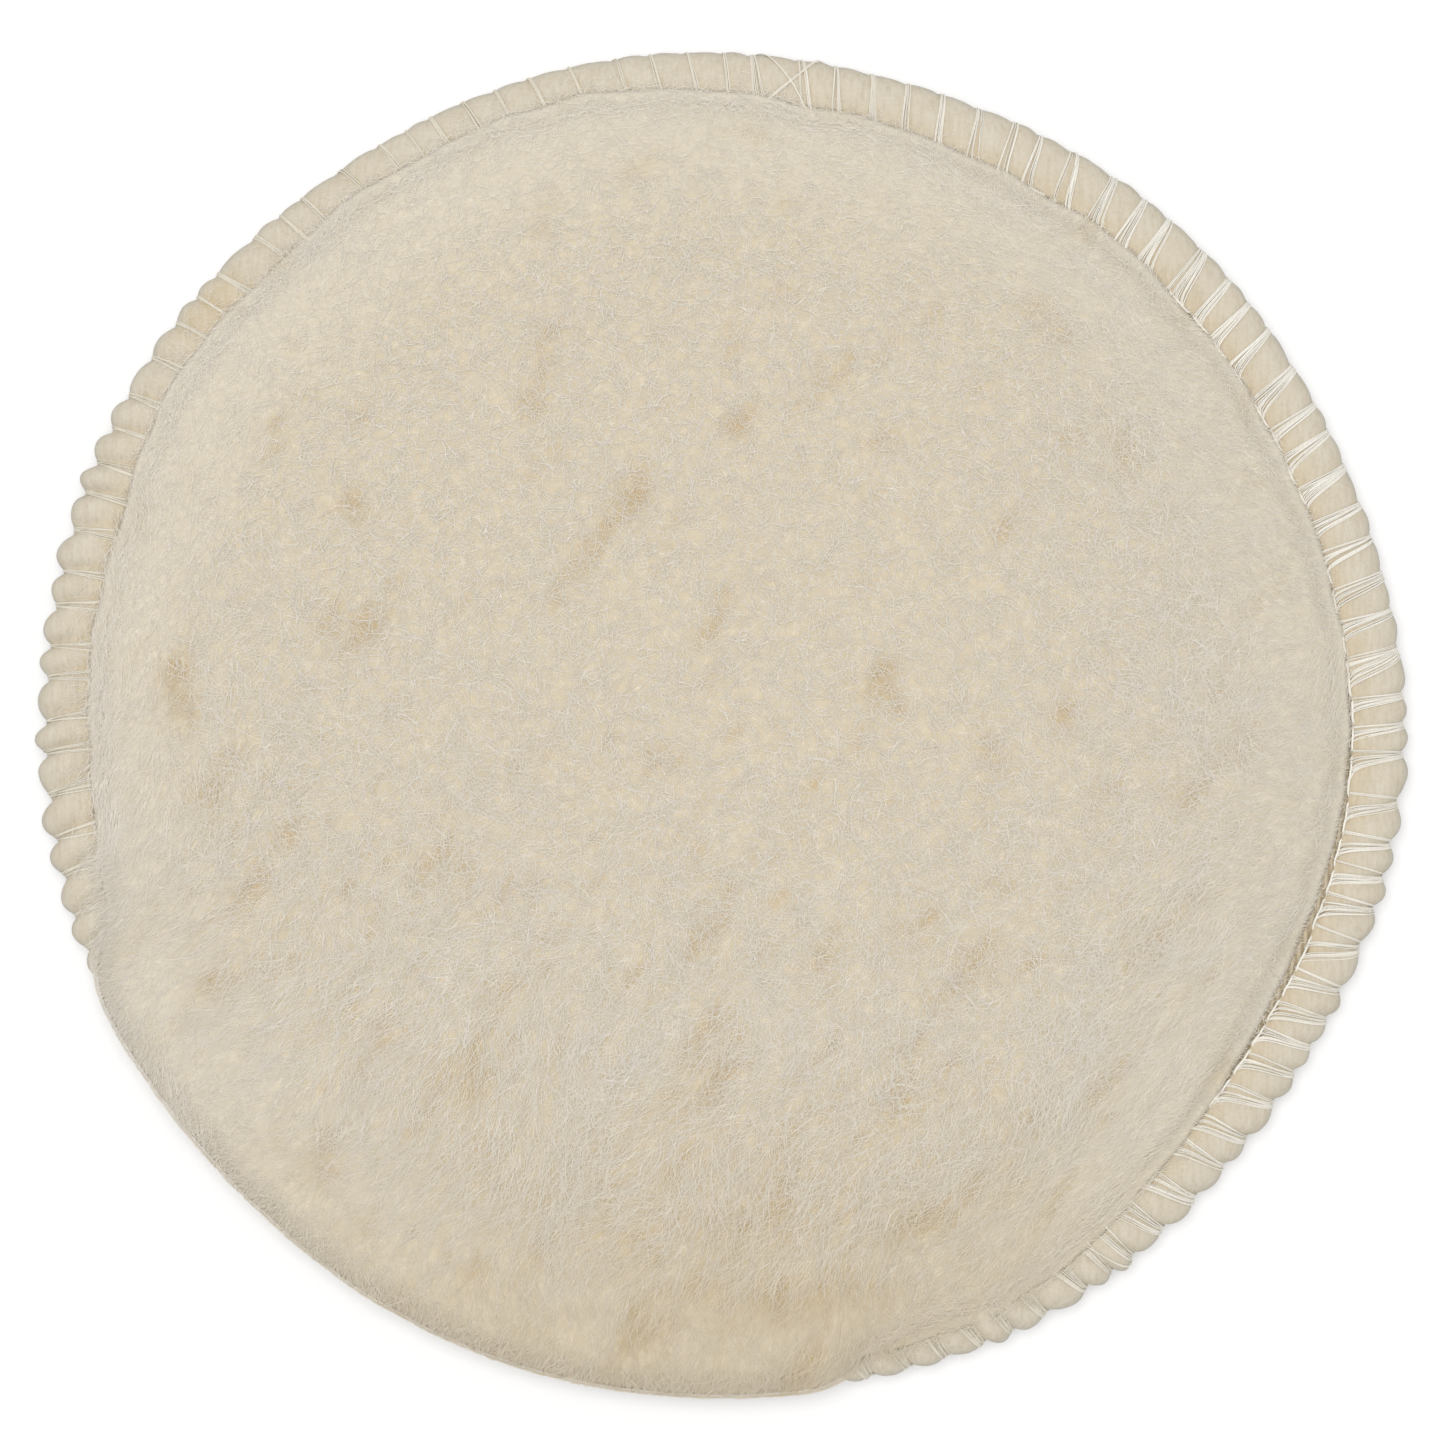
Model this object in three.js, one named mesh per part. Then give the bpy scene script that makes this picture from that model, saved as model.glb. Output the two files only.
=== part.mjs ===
// Lambswool polishing pad with a touch-fastener back. Millimetres, +Z out of the wool face.
// The origin is the centre of the loop face, which lies on the plane z = 0.
// Layers from the back: loop nap, backing cloth, cushion foam, pile ground cloth, wool pile.
// The backing cloth turns up round the edge and laps over the front as a round rim, and a
// three-thread overlock (one needle thread, two looper threads) binds the rim all the way round.
// Every piece is laid out on a round pad, and place() then pulls it to the hand-cut outline.

import * as THREE from 'three';

// Overall size and outline
const PAD_RADIUS = 75; // mean radius over the rim
const OUTLINE_WAVES = [ // how hand cutting departs from round; crest is an angle in degrees
  { count: 2, depth: 0.7, crest: -12 },
  { count: 3, depth: 0.16, crest: 42 },
  { count: 4, depth: 0.2, crest: 3 },
  { count: 6, depth: 0.15, crest: -6 },
  { count: 7, depth: 0.27, crest: -6 },
];

// Layers, from the back to the front
const NAP_HEIGHT = 1.2; // loop pile of the touch fastener
const CLOTH_THICKNESS = 0.7; // backing cloth that carries the loops
const FOAM_THICKNESS = 3;
const GROUND_THICKNESS = 0.6; // knitted ground that holds the wool
const PILE_HEIGHT = 12;
const PILE_CROWN = 0.5; // how much higher the wool stands in the middle

// Rim
const RIM_WIDTH = 6.4;
const RIM_CROWN = 0.4; // rise of the rim over its inner lip
const RIM_DROP = 0.3; // how far the rim hangs below the flat of the backing cloth
const NAP_MARGIN = 1; // bare cloth between the loop nap and the rim
const NAP_CHAMFER = 0.4;

// Wool edge
const PILE_SHOULDER = 22; // width of the rounded shoulder of the wool
const PILE_BROW = 0.2; // height of the blunt edge of the wool
const COMBED_TUFTS = [ // where the combed wool leans out over the rim, by angles in degrees
  { centre: 241, halfSpan: 58, fade: 25, reach: 5.4 },
  { centre: 110, halfSpan: 45, fade: 25, reach: 2.6 },
];

// Overlock stitching
const STITCH_PITCH = 4.2;
const THREAD_THICKNESS = 0.35;
const NEEDLE_INSET = 0.5; // needle line, from the inner edge of the rim
const CATCH_INSET = 1.3; // where the loopers turn back, from the inner edge of the rim
const EDGE_LIFT = THREE.MathUtils.degToRad(8); // where a looper turns on the outer edge
const DASH_RISE = 0.35; // the needle thread humps this much between its holes
const MITRE_LIMIT = 1.5;

// Fits
const FIT_GAP = 0.3; // between neighbouring pieces that aren't bonded face to face
const THREAD_GAP = 0.1; // between a thread and the cloth that it lies on

// Fineness of the faceted solids
const RING_STEPS = 60;
const RIM_STEPS = 4; // chords in the half turn of the rim
const EDGE_STEPS = 3; // chords in the edge of the foam
const SHOULDER_STEPS = 4;
const THREAD_SIDES = 3;

// Heights of the bonded faces
const CLOTH_Z = NAP_HEIGHT;
const FOAM_Z = CLOTH_Z + CLOTH_THICKNESS;
const GROUND_Z = FOAM_Z + FOAM_THICKNESS;
const PILE_Z = GROUND_Z + GROUND_THICKNESS;
const LIP_Z = PILE_Z + FIT_GAP;
const LIP_TOP = LIP_Z + CLOTH_THICKNESS;
const PILE_TOP = PILE_Z + PILE_HEIGHT - PILE_CROWN;

// Section of the rim: an ellipse whose lower half starts at the flat cloth
const RIM_INNER = PAD_RADIUS - RIM_WIDTH;
const RIM_TOP = LIP_TOP + RIM_CROWN;
const RIM_BOTTOM = CLOTH_Z - RIM_DROP;
const RIM_HALF = new THREE.Vector2(RIM_WIDTH / 2, (RIM_TOP - RIM_BOTTOM) / 2);
const RIM_CENTRE = new THREE.Vector2(PAD_RADIUS - RIM_WIDTH / 2, (RIM_TOP + RIM_BOTTOM) / 2);

// The wool stands clear of the thread that lies on the crown of the rim
const BROW_Z = RIM_TOP + THREAD_GAP + THREAD_THICKNESS + FIT_GAP;

// How far the hand-cut outline stands out from round at an angle
function outlineWave(angle) {
  let out = 0;
  for (const wave of OUTLINE_WAVES) {
    out += wave.depth * Math.cos(wave.count * (angle - THREE.MathUtils.degToRad(wave.crest)));
  }
  return out;
}

// The point of the finished pad for an angle, radius and height on the round layout
function place(angle, radius, z) {
  const r = radius * (1 + outlineWave(angle) / PAD_RADIUS);
  return new THREE.Vector3(r * Math.cos(angle), r * Math.sin(angle), z);
}

// A point of the rim's section, on the ellipse made smaller all round by inset
function rimPoint(turn, inset) {
  const r = RIM_CENTRE.x + (RIM_HALF.x - inset) * Math.cos(turn);
  const z = RIM_CENTRE.y + (RIM_HALF.y - inset) * Math.sin(turn);
  return new THREE.Vector2(r, z);
}

// The outer half of the rim's section, from its lowest point round to its crown
function rimArc(inset) {
  const points = [];
  for (let i = 0; i <= RIM_STEPS; i++) {
    points.push(rimPoint(-Math.PI / 2 + (Math.PI * i) / RIM_STEPS, inset));
  }
  return points;
}

// Radius that the layers inside the rim reach at a height, clear of the cloth round them
function stackRadius(z) {
  const inset = CLOTH_THICKNESS + FIT_GAP;
  const rise = (z - RIM_CENTRE.y) / (RIM_HALF.y - inset);
  return RIM_CENTRE.x + (RIM_HALF.x - inset) * Math.sqrt(Math.max(0, 1 - rise * rise));
}

function geometryOf(points, triangles) {
  const geometry = new THREE.BufferGeometry();
  geometry.setAttribute('position', new THREE.Float32BufferAttribute(
    points.flatMap((p) => [p.x, p.y, p.z]), 3));
  geometry.setIndex(triangles);
  geometry.computeVertexNormals();
  return geometry;
}

// A solid with the section profileAt(angle), a list of (radius, z) that starts on the axis
// underneath, goes round the outside and ends on the axis on top
function ringSolid(profileAt) {
  const points = [];
  const triangles = [];
  const profile = profileAt(0);
  const rows = profile.length - 2;
  for (let step = 0; step < RING_STEPS; step++) {
    const angle = (2 * Math.PI * step) / RING_STEPS;
    for (const p of profileAt(angle).slice(1, -1)) {
      points.push(place(angle, p.x, p.y));
    }
  }
  const bottom = points.push(new THREE.Vector3(0, 0, profile[0].y)) - 1;
  const top = points.push(new THREE.Vector3(0, 0, profile[rows + 1].y)) - 1;
  for (let step = 0; step < RING_STEPS; step++) {
    const here = step * rows;
    const next = ((step + 1) % RING_STEPS) * rows;
    triangles.push(bottom, next, here);
    for (let row = 0; row < rows - 1; row++) {
      triangles.push(here + row, next + row, next + row + 1);
      triangles.push(here + row, next + row + 1, here + row + 1);
    }
    triangles.push(top, here + rows - 1, next + rows - 1);
  }
  return geometryOf(points, triangles);
}

// How far the combed wool leans out over the rim
function lean(angle) {
  let out = 0;
  for (const tuft of COMBED_TUFTS) {
    const turn = THREE.MathUtils.radToDeg(angle) - tuft.centre;
    const away = Math.abs(THREE.MathUtils.euclideanModulo(turn + 180, 360) - 180);
    out += tuft.reach * (1 - THREE.MathUtils.smoothstep(away, tuft.halfSpan - tuft.fade, tuft.halfSpan));
  }
  return out;
}

const loopNap = ringSolid(() => {
  const radius = RIM_INNER - NAP_MARGIN;
  return [
    new THREE.Vector2(0, 0),
    new THREE.Vector2(radius - NAP_CHAMFER, 0),
    new THREE.Vector2(radius, NAP_CHAMFER),
    new THREE.Vector2(radius, NAP_HEIGHT),
    new THREE.Vector2(0, NAP_HEIGHT),
  ];
});

// The flat disc, the turned-up rim and the lip over the front are one piece of cloth
const backingCloth = ringSolid(() => [
  new THREE.Vector2(0, CLOTH_Z),
  new THREE.Vector2(RIM_INNER, CLOTH_Z),
  ...rimArc(0),
  new THREE.Vector2(RIM_INNER, LIP_TOP),
  new THREE.Vector2(RIM_INNER, LIP_Z),
  ...rimArc(CLOTH_THICKNESS).reverse(),
  new THREE.Vector2(RIM_INNER, FOAM_Z),
  new THREE.Vector2(0, FOAM_Z),
]);

const cushionFoam = ringSolid(() => {
  const edge = [];
  for (let i = 0; i <= EDGE_STEPS; i++) {
    const z = FOAM_Z + (FOAM_THICKNESS * i) / EDGE_STEPS;
    edge.push(new THREE.Vector2(stackRadius(z), z));
  }
  return [new THREE.Vector2(0, FOAM_Z), ...edge, new THREE.Vector2(0, GROUND_Z)];
});

const pileGround = ringSolid(() => [
  new THREE.Vector2(0, GROUND_Z),
  new THREE.Vector2(stackRadius(GROUND_Z), GROUND_Z),
  new THREE.Vector2(stackRadius(PILE_Z), PILE_Z),
  new THREE.Vector2(0, PILE_Z),
]);

// The wool rises inside the lip, leans out over the rim where it is combed that way, and
// rounds over to its nearly flat face
const woolPile = ringSolid((angle) => {
  const root = RIM_INNER - FIT_GAP;
  const browZ = BROW_Z + PILE_BROW;
  const faceEdge = root - PILE_SHOULDER;
  const across = PILE_SHOULDER + lean(angle);
  const shoulder = [];
  for (let i = 0; i <= SHOULDER_STEPS; i++) {
    const turn = (Math.PI / 2) * (i / SHOULDER_STEPS);
    const r = faceEdge + across * Math.cos(turn);
    shoulder.push(new THREE.Vector2(r, browZ + (PILE_TOP - browZ) * Math.sin(turn)));
  }
  return [
    new THREE.Vector2(0, PILE_Z),
    new THREE.Vector2(root, PILE_Z),
    new THREE.Vector2(root, BROW_Z),
    ...shoulder,
    new THREE.Vector2(0, PILE_TOP + PILE_CROWN),
  ];
});

// A closed ring of thread through points { at, out }: where it runs, and which way is away
// from the cloth
function threadRing(stops) {
  const points = [];
  const triangles = [];
  const count = stops.length;
  stops.forEach((stop, i) => {
    const before = stop.at.clone().sub(stops[(i + count - 1) % count].at).normalize();
    const after = stops[(i + 1) % count].at.clone().sub(stop.at).normalize();
    const along = before.clone().add(after).normalize();
    const side = stop.out.clone().cross(along).normalize();
    const up = along.clone().cross(side);
    const mitre = Math.min(MITRE_LIMIT, 1 / Math.max(along.dot(after), 1 / MITRE_LIMIT));
    for (let k = 0; k < THREAD_SIDES; k++) {
      const turn = Math.PI / 2 + (2 * Math.PI * k) / THREAD_SIDES;
      const across = (THREAD_THICKNESS / 2) * mitre * Math.cos(turn);
      const high = (THREAD_THICKNESS / 2) * Math.sin(turn);
      points.push(stop.at.clone().addScaledVector(side, across).addScaledVector(up, high));
    }
  });
  for (let i = 0; i < count; i++) {
    const here = i * THREAD_SIDES;
    const next = ((i + 1) % count) * THREAD_SIDES;
    for (let k = 0; k < THREAD_SIDES; k++) {
      const k2 = (k + 1) % THREAD_SIDES;
      triangles.push(here + k, next + k2, next + k);
      triangles.push(here + k, here + k2, next + k2);
    }
  }
  return geometryOf(points, triangles);
}

const STITCHES = Math.round((2 * Math.PI * PAD_RADIUS) / STITCH_PITCH);
const STITCH_ANGLE = (2 * Math.PI) / STITCHES;
const THREAD_LIFT = THREAD_GAP + THREAD_THICKNESS / 2;

// A stop on the thread at a stitch position, from its place on the rim's section and the
// direction away from the cloth there
function threadStop(stitch, section, out) {
  const angle = stitch * STITCH_ANGLE;
  const away = new THREE.Vector3(out.x * Math.cos(angle), out.x * Math.sin(angle), out.y);
  return { at: place(angle, section.x, section.y), out: away.normalize() };
}

// The stops of one looper thread. side is +1 on the front and -1 on the back. It turns back
// at the needle line and on the outer edge, half a stitch apart.
function looperStops(side, phase) {
  const catchR = RIM_INNER + CATCH_INSET;
  const flatZ = side > 0 ? LIP_TOP : CLOTH_Z;
  const extremeZ = side > 0 ? RIM_TOP : RIM_BOTTOM;
  const slope = (extremeZ - flatZ) / (RIM_CENTRE.x - RIM_INNER);
  const catchPoint = new THREE.Vector2(catchR, flatZ + slope * CATCH_INSET + side * THREAD_LIFT);
  const shares = [0, 1 / 6, 1 / 3, 1 / 2];
  const turns = [Math.PI / 2, Math.PI / 4, EDGE_LIFT];
  const leg = [{ section: catchPoint, out: new THREE.Vector2(0, side) }];
  for (const turn of turns) {
    const out = new THREE.Vector2(Math.cos(turn), side * Math.sin(turn));
    leg.push({ section: rimPoint(side * turn, -THREAD_LIFT), out });
  }
  const stops = [];
  for (let stitch = 0; stitch < STITCHES; stitch++) {
    for (let i = 0; i < leg.length; i++) {
      stops.push(threadStop(stitch + phase + shares[i], leg[i].section, leg[i].out));
    }
    for (let i = leg.length - 2; i > 0; i--) {
      stops.push(threadStop(stitch + phase + 1 - shares[i], leg[i].section, leg[i].out));
    }
  }
  return stops;
}

// The needle thread's dashes along the inner edge of the rim, low at each needle hole
function needleStops() {
  const lift = (RIM_CROWN * NEEDLE_INSET) / (RIM_CENTRE.x - RIM_INNER);
  const low = LIP_TOP + lift + THREAD_LIFT;
  const up = new THREE.Vector2(0, 1);
  const stops = [];
  for (let stitch = 0; stitch < STITCHES; stitch++) {
    const radius = RIM_INNER + NEEDLE_INSET;
    stops.push(threadStop(stitch, new THREE.Vector2(radius, low), up));
    stops.push(threadStop(stitch + 0.5, new THREE.Vector2(radius, low + DASH_RISE), up));
  }
  return stops;
}

function piece(name, geometry, color, roughness) {
  const material = new THREE.MeshStandardMaterial({ color, roughness, metalness: 0 });
  const mesh = new THREE.Mesh(geometry, material);
  mesh.name = name;
  return mesh;
}

const pad = new THREE.Group();
pad.add(piece('wool_pile', woolPile, '#dacdb4', 0.95));
pad.add(piece('pile_ground_cloth', pileGround, '#cbbd9f', 0.9));
pad.add(piece('cushion_foam', cushionFoam, '#e6e1d4', 0.9));
pad.add(piece('backing_cloth', backingCloth, '#d6c6a6', 0.9));
pad.add(piece('loop_nap', loopNap, '#e4dcc8', 0.95));
pad.add(piece('needle_thread', threadRing(needleStops()), '#efeae0', 0.6));
pad.add(piece('upper_looper_thread', threadRing(looperStops(1, 0)), '#efeae0', 0.6));
pad.add(piece('lower_looper_thread', threadRing(looperStops(-1, 0.5)), '#efeae0', 0.6));

export default pad;
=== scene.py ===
"""The looks of a lambswool polishing pad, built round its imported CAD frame.

Metres, +Z out of the wool face. Radii and heights come from the CAD nodes; the sizes below are
those of things finer than the CAD, such as fibres, stitches and loops.
"""

import math

import bpy
import numpy as np
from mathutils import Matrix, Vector


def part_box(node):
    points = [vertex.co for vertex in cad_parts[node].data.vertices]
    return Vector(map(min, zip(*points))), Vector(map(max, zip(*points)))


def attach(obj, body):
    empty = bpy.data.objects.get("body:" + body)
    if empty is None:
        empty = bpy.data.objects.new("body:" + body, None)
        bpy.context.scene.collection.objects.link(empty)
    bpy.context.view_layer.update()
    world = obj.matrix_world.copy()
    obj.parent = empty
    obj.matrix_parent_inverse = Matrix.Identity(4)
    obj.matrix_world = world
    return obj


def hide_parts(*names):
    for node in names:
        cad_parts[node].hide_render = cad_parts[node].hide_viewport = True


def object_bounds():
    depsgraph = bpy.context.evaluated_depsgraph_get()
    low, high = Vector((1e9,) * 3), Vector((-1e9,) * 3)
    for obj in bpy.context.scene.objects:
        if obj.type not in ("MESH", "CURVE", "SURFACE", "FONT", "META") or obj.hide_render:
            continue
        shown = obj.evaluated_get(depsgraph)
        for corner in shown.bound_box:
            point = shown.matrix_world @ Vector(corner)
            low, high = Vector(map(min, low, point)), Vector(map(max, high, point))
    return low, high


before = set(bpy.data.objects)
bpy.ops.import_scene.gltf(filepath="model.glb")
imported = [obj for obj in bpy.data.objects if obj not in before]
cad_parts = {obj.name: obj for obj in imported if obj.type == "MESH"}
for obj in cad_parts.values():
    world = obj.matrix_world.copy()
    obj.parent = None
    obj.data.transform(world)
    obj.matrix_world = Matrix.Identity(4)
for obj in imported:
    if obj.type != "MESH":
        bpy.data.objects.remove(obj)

CAD_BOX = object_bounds()
TAU = 2 * math.pi
MM = 0.001
SEED = 7

# Stitching
STITCHES = 112
STITCH_WANDER = 0.22  # stitches drift from even spacing by this share of the pitch
STRAND_RADIUS = 0.13 * MM
FILAMENT_RADIUS = 0.07 * MM
FILAMENTS = 4
DASH_DIVE = 0.25 * MM  # how far the ends of a needle dash go down into their holes
# Where a thread crosses other stitches: angle, and how many stitches on its two ends lie
CROSSINGS = [(84, -0.9, 0.6), (85.5, 0.5, -0.9), (309, -0.3, -2.1)]

# Rim
CLOTH_THICKNESS = 0.7 * MM
LIP_TURN = math.radians(163)  # where the rim's section meets the needle line
RIM_COLUMNS = STITCHES * 12
RIM_ROWS = 40  # round the outside of the rim's section
HOLE_ROWS = 6  # the first of those rows, where the needle's holes are
WOOL_TUCK = 0.9 * MM  # how far the rim is drawn in where the wool hangs over it
SOILED_AT = 141  # the rim is a little browner round this angle, in degrees
# How deep the stitches draw the rim in, by angle round the pad
RIM_PINCH = [
    (0, 0.6), (12, 0.35), (35, 0.28), (60, 0.25), (90, 0.2), (120, 0.2), (135, 0.35),
    (145, 0.6), (155, 1.05), (165, 1.25), (182, 1.25), (196, 1.1), (206, 0.6), (218, 0.3),
    (262, 0.3), (280, 0.6), (300, 0.9), (314, 1.05), (330, 0.65), (345, 0.9), (353, 0.9),
]

# Wool
FIBRES, QUICK_FIBRES = 105_000, 30_000
PILE_SHOULDER = 22 * MM
BODY_INSET = 0.8 * MM
FIBRE_RADIUS = (0.024 * MM, 0.044 * MM)
NAP_LIE = math.radians(236)  # the way the pile is combed
STRAND_STEPS = 4
SHADE_FLATTEN = 0.6  # how far a fibre is shaded as part of the wool's surface, not as a wire
EVEN_A, EVEN_B = 0.7548776662466927, 0.5698402909980532  # steps that never bunch up
PIECE_FACES = 190_000
# Ochre spots in the pile: angle round the pad, share of the way out along the surface,
# half length and half width in mm, which way the spot lies, and how strong it is
FLECKS = [
    (177, 0.80, 4.5, 2.2, 290, 1.3), (194, 0.81, 3.5, 2.0, 200, 0.34), (203, 0.79, 3.4, 2.2, 170, 0.19),
    (168, 0.84, 2.6, 1.6, 90, 0.17), (193, 0.23, 2.0, 1.4, 200, 0.21), (147, 0.35, 3.0, 2.2, 150, 0.14),
    (110, 0.39, 2.6, 1.8, 20, 0.14), (45, 0.29, 2.6, 1.7, 60, 0.19), (46, 0.42, 2.4, 1.6, 30, 0.14),
    (15, 0.19, 2.2, 1.5, 70, 0.19), (358, 0.62, 4.5, 1.5, 235, 0.28), (350, 0.55, 6.0, 1.5, 245, 0.28),
    (344, 0.57, 4.0, 1.3, 250, 0.17), (316, 0.56, 3.2, 1.8, 230, 0.17), (295, 0.60, 3.0, 1.4, 235, 0.17),
    (271, 0.48, 2.4, 1.4, 235, 0.17), (242, 0.77, 3.5, 1.4, 220, 0.19), (273, 0.70, 4.0, 1.6, 215, 0.17),
    (278, 0.83, 15.0, 3.0, 358, 0.75), (240, 0.44, 2.6, 1.4, 240, 0.14), (305, 0.82, 4.0, 2.2, 240, 0.17),
    (330, 0.47, 3.2, 1.6, 230, 0.17), (225, 0.58, 2.6, 1.5, 215, 0.11), (75, 0.24, 2.4, 1.8, 80, 0.11),
]
# How far the wool reaches over the needle line, in mm, by angle round the pad
WOOL_LAP = [
    (0, 0.2), (12, 0.3), (60, 0.6), (84, 1.3), (100, 2.8), (125, 2.9), (135, 1.9),
    (150, 2.3), (158, 0.9), (185, 0.8), (200, 1.5), (265, 2.2), (280, 3.6), (294, 3.4),
    (304, 2.0), (314, 0.8), (322, 0.3), (330, -0.4), (346, -0.5), (354, -0.1),
]
LAP_WANDER = 0.45  # how far that edge wanders, in mm
# How plainly the needle's holes show, by angle round the pad
HOLES = [
    (0, 0.2), (10, 0.1), (60, 0.15), (140, 0.2), (158, 0.6), (182, 0.6), (192, 0.1),
    (300, 0.3), (322, 0.4), (329, 0.9), (346, 1.0), (352, 0.5),
]
# How much the wool's haze dulls the strands, by angle round the pad
FAINT = [
    (0, 0.1), (20, 0.0), (58, 0.1), (80, 0.5), (100, 0.9), (200, 0.6), (290, 0.9),
    (310, 0.3), (340, 0.1),
]
# Pale wisps along the edge, by angle round the pad
WISPS = [
    (5, 0.1), (55, 0.1), (80, 0.6), (105, 0.5), (120, 0.4), (133, 0.9), (150, 1.0), (160, 0.3),
    (172, 0.8), (186, 1.0), (200, 0.6), (215, 0.3), (300, 0.3), (318, 0.9), (326, 0.4), (345, 0.1),
]

# Hidden layers and the loop back
FOAM_INSET = 1.9 * MM  # from the outside of the rim
GROUND_INSET = 2.9 * MM
NAP_BASE_DEPTH = 0.25 * MM
LOOPS = 12_000
LOOP_RADIUS = 0.075 * MM

# Studio
FLOOR_SIZE, FLOOR_DROP = 6, 0.0002
FLOOR_WHITE = (0.93, 0.93, 0.93, 1)
AIR_STRENGTH = 0.62
KEY_PLACE, KEY_SIZE, KEY_POWER = (-0.05, 0.07, 1.0), 0.55, 6.0
LENS, SENSOR = 100.0, 36.0
PICTURE_WIDTH = 1.0525  # of the pad's width

# ---------------------------------------------------------------- numbers and noise

def hashed(ix, iy, seed):
    """A repeatable random number from 0 to 1 for each whole-number lattice point."""
    h = (ix * 374761393 + iy * 668265263 + seed * 974711) & 0xFFFFFFFF
    h = ((h ^ (h >> 13)) * 1274126177) & 0xFFFFFFFF
    return ((h ^ (h >> 16)) & 0xFFFF) / 65535.0


def noise(x, y, seed=0):
    """Smooth gradient noise from about -1 to 1, one bump to a unit."""
    ix, iy = np.floor(x).astype(np.int64), np.floor(y).astype(np.int64)
    fx, fy = x - ix, y - iy
    sx, sy = fx * fx * (3 - 2 * fx), fy * fy * (3 - 2 * fy)

    def corner(dx, dy):
        turn = TAU * hashed(ix + dx, iy + dy, seed)
        return np.cos(turn) * (fx - dx) + np.sin(turn) * (fy - dy)

    low = corner(0, 0) * (1 - sx) + corner(1, 0) * sx
    high = corner(0, 1) * (1 - sx) + corner(1, 1) * sx
    return 1.5 * (low * (1 - sy) + high * sy)


def layered(x, y, seed, octaves=3):
    """Noise summed over octaves, each twice as fine and half as strong."""
    total, weight = 0.0, 1.0
    for k in range(octaves):
        total = total + weight * noise(x * 2**k, y * 2**k, seed + 31 * k)
        weight *= 0.5
    return total


def ramp(x, low, high):
    """A smooth step from 0 at low to 1 at high."""
    t = np.clip((x - low) / (high - low), 0, 1)
    return t * t * (3 - 2 * t)


def unit(v):
    return v / np.maximum(np.linalg.norm(v, axis=-1, keepdims=True), 1e-12)


def by_angle(pairs):
    """A smooth function of the angle round the pad through (degrees, value) pairs."""
    degrees, values = zip(*pairs)
    grid = np.arange(720) / 2
    sampled = np.interp(grid, degrees, values, period=360)
    kernel = np.hanning(25)
    kernel /= kernel.sum()
    smooth = np.convolve(np.tile(sampled, 3), kernel, "same")[720:1440]
    return lambda angle: np.interp(np.degrees(angle) % 360, grid, smooth, period=360)


# ---------------------------------------------------------------- reading the frame

def cad_points(node):
    """A CAD node's points, in the frame."""
    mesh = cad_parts[node].data
    co = np.empty(len(mesh.vertices) * 3, np.float32)
    mesh.vertices.foreach_get("co", co)
    return co.reshape(-1, 3).astype(float)


def radius_by_angle(points, outermost=True):
    """The outermost or innermost radius of CAD points as a smooth function of the angle."""
    angle = np.round(np.degrees(np.arctan2(points[:, 1], points[:, 0])) % 360, 1) % 360
    radius = np.hypot(points[:, 0], points[:, 1])
    stops = np.unique(angle)
    pick = np.max if outermost else np.min
    values = np.array([pick(radius[angle == a]) for a in stops])
    grid = np.arange(360.0)
    waves = np.fft.rfft(np.interp(grid, stops, values, period=360))
    waves[24:] = 0
    smooth = np.fft.irfft(waves, 360)
    return lambda a: np.interp(np.degrees(a) % 360, grid, smooth, period=360)


CLOTH = cad_points("backing_cloth")
WOOL = cad_points("wool_pile")
RIM_BOTTOM, RIM_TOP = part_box("backing_cloth")[0].z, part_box("backing_cloth")[1].z
CLOTH_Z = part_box("loop_nap")[1].z
FOAM_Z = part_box("cushion_foam")[0].z
GROUND_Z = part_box("pile_ground_cloth")[0].z
PILE_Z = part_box("wool_pile")[0].z
PILE_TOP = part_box("wool_pile")[1].z

rim_radius = radius_by_angle(CLOTH[CLOTH[:, 2] > CLOTH_Z])
lip_radius = radius_by_angle(CLOTH[CLOTH[:, 2] > PILE_Z + 0.1 * MM], outermost=False)
nap_points = cad_points("loop_nap")
nap_radius = radius_by_angle(nap_points[np.hypot(nap_points[:, 0], nap_points[:, 1]) > 10 * MM])
root_ring = (WOOL[:, 2] < PILE_Z + 0.1 * MM) & (np.hypot(WOOL[:, 0], WOOL[:, 1]) > 10 * MM)
root_radius = radius_by_angle(WOOL[root_ring])
brow_radius = radius_by_angle(WOOL[np.hypot(WOOL[:, 0], WOOL[:, 1]) > 60 * MM])
BROW_Z = np.unique(np.round(WOOL[np.hypot(WOOL[:, 0], WOOL[:, 1]) > 60 * MM][:, 2], 5))[2]
TUCK_Z = PILE_Z + 0.15 * MM  # where the rim's lip comes down to the needle line


# ---------------------------------------------------------------- mesh making

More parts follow.
